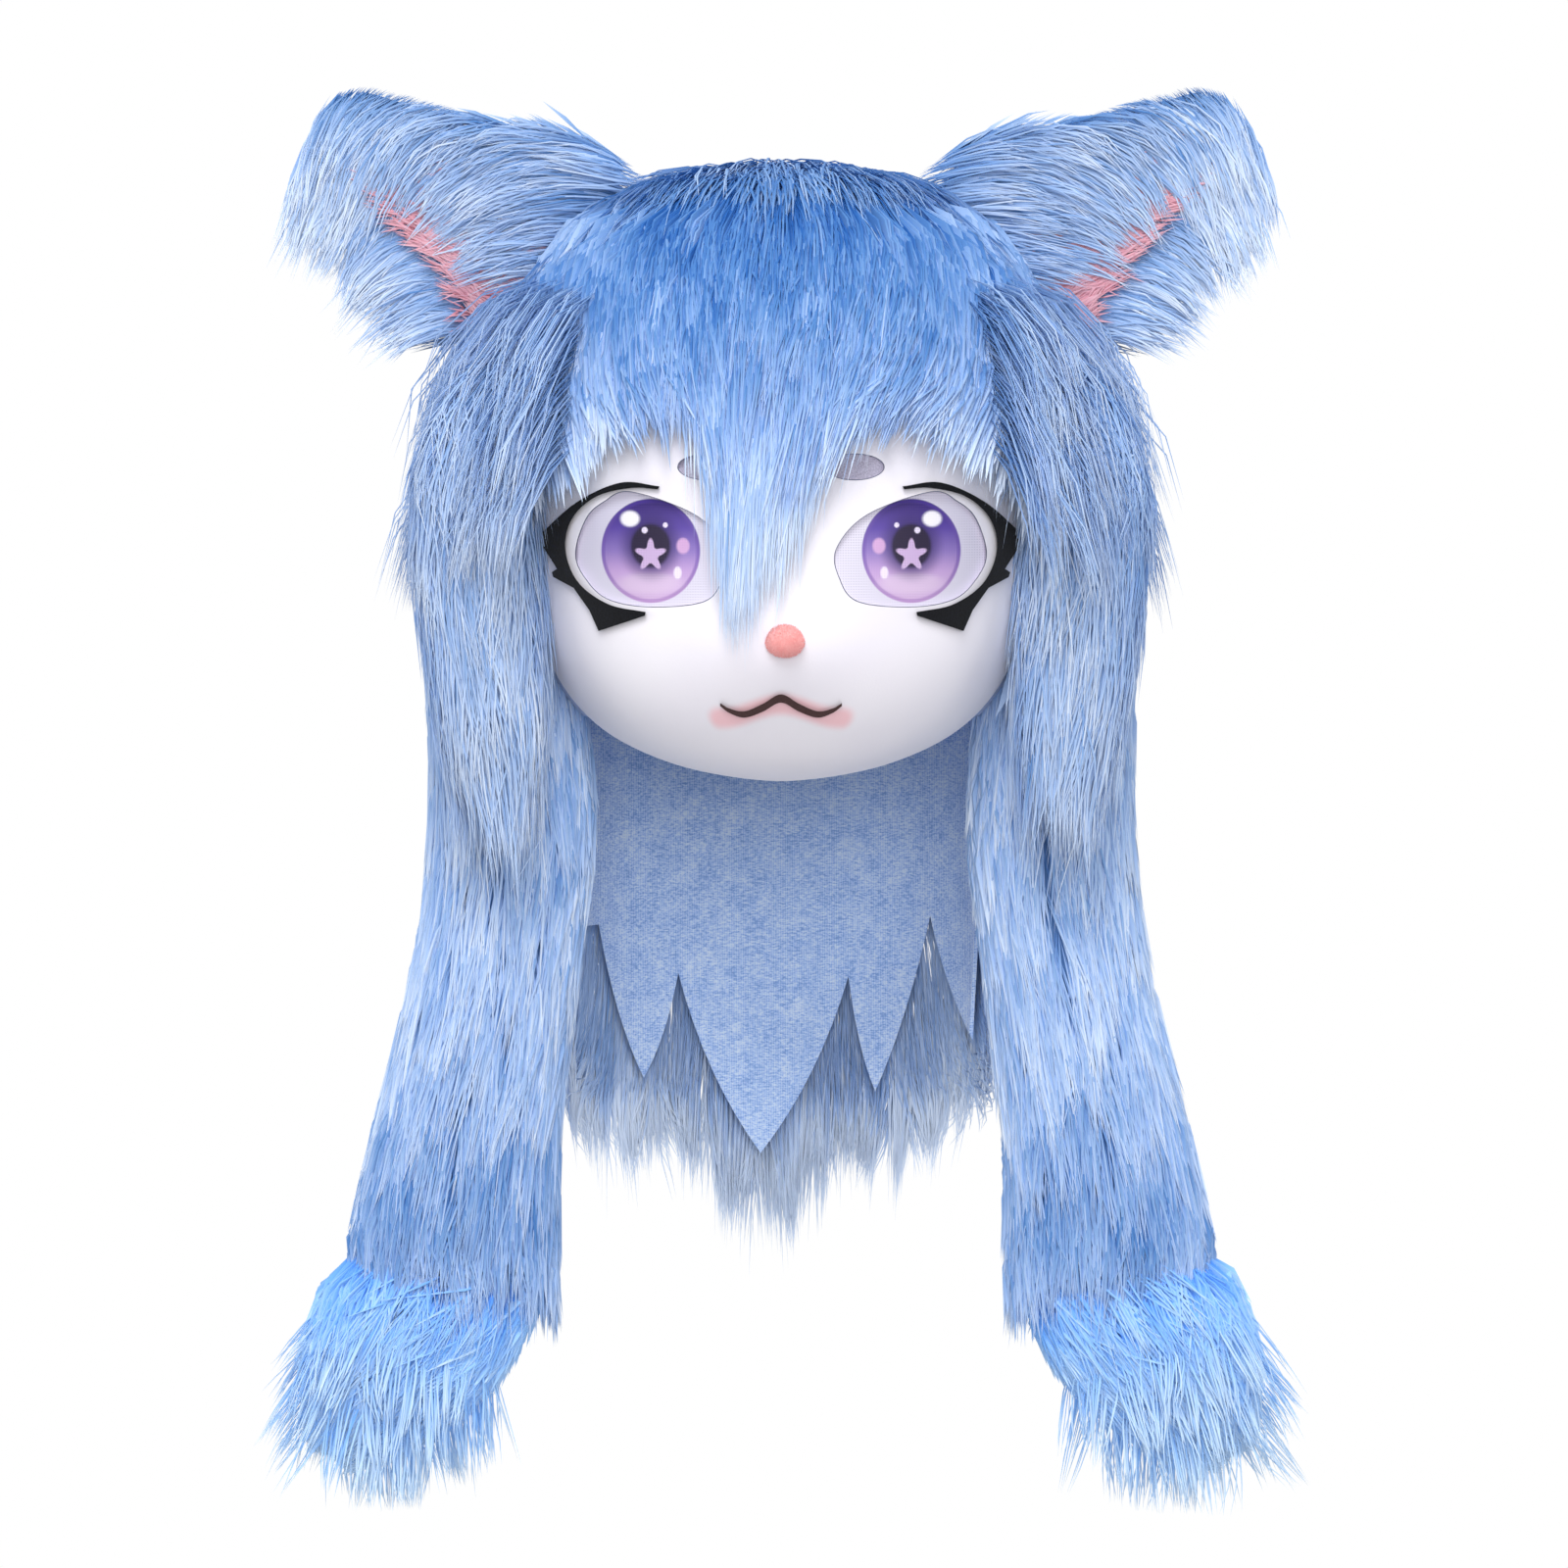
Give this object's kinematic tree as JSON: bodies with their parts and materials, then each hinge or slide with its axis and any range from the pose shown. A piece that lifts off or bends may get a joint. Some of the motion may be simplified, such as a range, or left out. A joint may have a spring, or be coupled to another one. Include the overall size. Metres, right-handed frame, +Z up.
{
  "type": "costume animal head",
  "caption": "Wearable cat costume head with a moulded mask, padded hood, large ears, long fur and two hanging paw flaps.",
  "frame": {"origin": "where the wearer's crown meets the inside of the hood", "axes": "+Z up, the face looks towards -Y, the wearer's left is +X"},
  "size_m": [0.5166, 0.3092, 0.7044],
  "materials": {
    "mask_cloth": "smooth white stretch cloth",
    "hood_padding": "padded lining",
    "long_fur": "long pile faux fur",
    "deep_fur": "long pile faux fur, a stronger blue",
    "ear_plush": "short pink plush",
    "jersey": "heather jersey knit",
    "printed_mesh": "printed mesh",
    "brow_mesh": "pale mesh",
    "lash_felt": "black felt",
    "nose_flock": "pink flock",
    "mouth_felt": "dark brown felt"
  },
  "bodies": {
    "root": {"face_shell": "mask_cloth", "hood_shell": "hood_padding", "crown_fur": "long_fur", "bangs": "long_fur", "nape_lining": "jersey", "nape_fur": "long_fur", "nose": "nose_flock", "mouth_line": "mouth_felt", "ear_left": "long_fur", "ear_right": "long_fur", "inner_ear_left": "ear_plush", "inner_ear_right": "ear_plush", "side_hair_left": "long_fur", "side_hair_right": "long_fur", "flap_left": "long_fur", "flap_right": "long_fur", "paw_left": "deep_fur", "paw_right": "deep_fur", "eye_mesh_left": "printed_mesh", "eye_mesh_right": "printed_mesh", "brow_mesh_left": "brow_mesh", "brow_mesh_right": "brow_mesh", "lash_left": "lash_felt", "lash_right": "lash_felt"}
  },
  "joints": []
}
